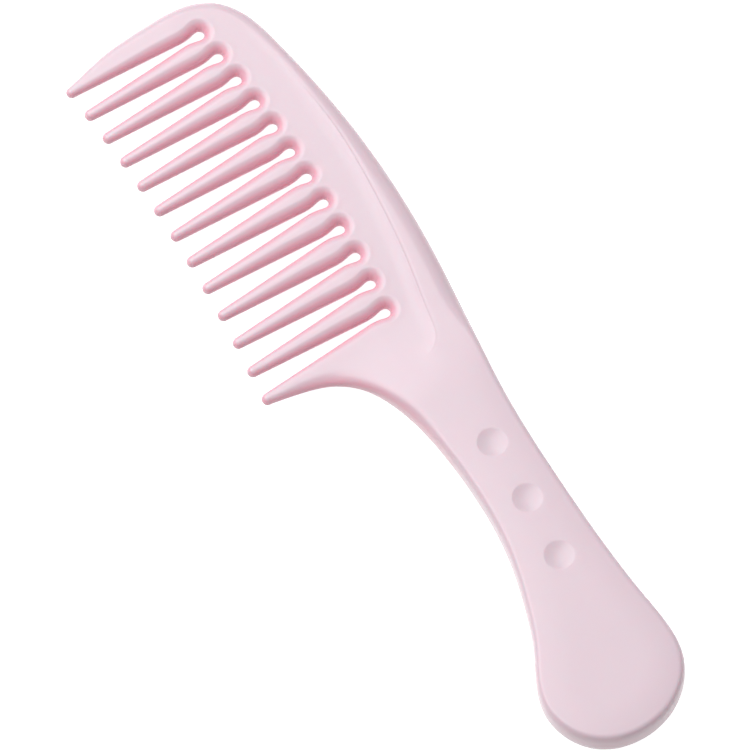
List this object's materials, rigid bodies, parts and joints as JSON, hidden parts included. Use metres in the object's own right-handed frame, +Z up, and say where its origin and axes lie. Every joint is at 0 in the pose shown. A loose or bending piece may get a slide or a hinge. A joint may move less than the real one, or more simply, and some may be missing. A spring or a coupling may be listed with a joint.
{
  "type": "wide tooth comb",
  "caption": "Wide tooth detangling comb: a row of tapered teeth with keyhole roots under a curved spine, a waisted neck and a rounded handle with dimples.",
  "frame": {"origin": "under the middle of the comb's length and width, on the surface it lies on", "axes": "+X from the nose towards the pommel, teeth towards -Y, +Z up out of the face"},
  "size_m": [0.24, 0.0622, 0.009],
  "materials": {
    "comb_plastic": "pale pink injection-moulded plastic, semi-gloss"
  },
  "bodies": {
    "root": {"front_tooth": "comb_plastic", "tooth_01": "comb_plastic", "tooth_02": "comb_plastic", "tooth_03": "comb_plastic", "tooth_04": "comb_plastic", "tooth_05": "comb_plastic", "tooth_06": "comb_plastic", "tooth_07": "comb_plastic", "tooth_08": "comb_plastic", "tooth_09": "comb_plastic", "tooth_10": "comb_plastic", "tooth_11": "comb_plastic", "rear_tooth": "comb_plastic", "blade": "comb_plastic", "spine": "comb_plastic", "neck": "comb_plastic", "handle_grip": "comb_plastic", "pommel": "comb_plastic"}
  },
  "joints": []
}
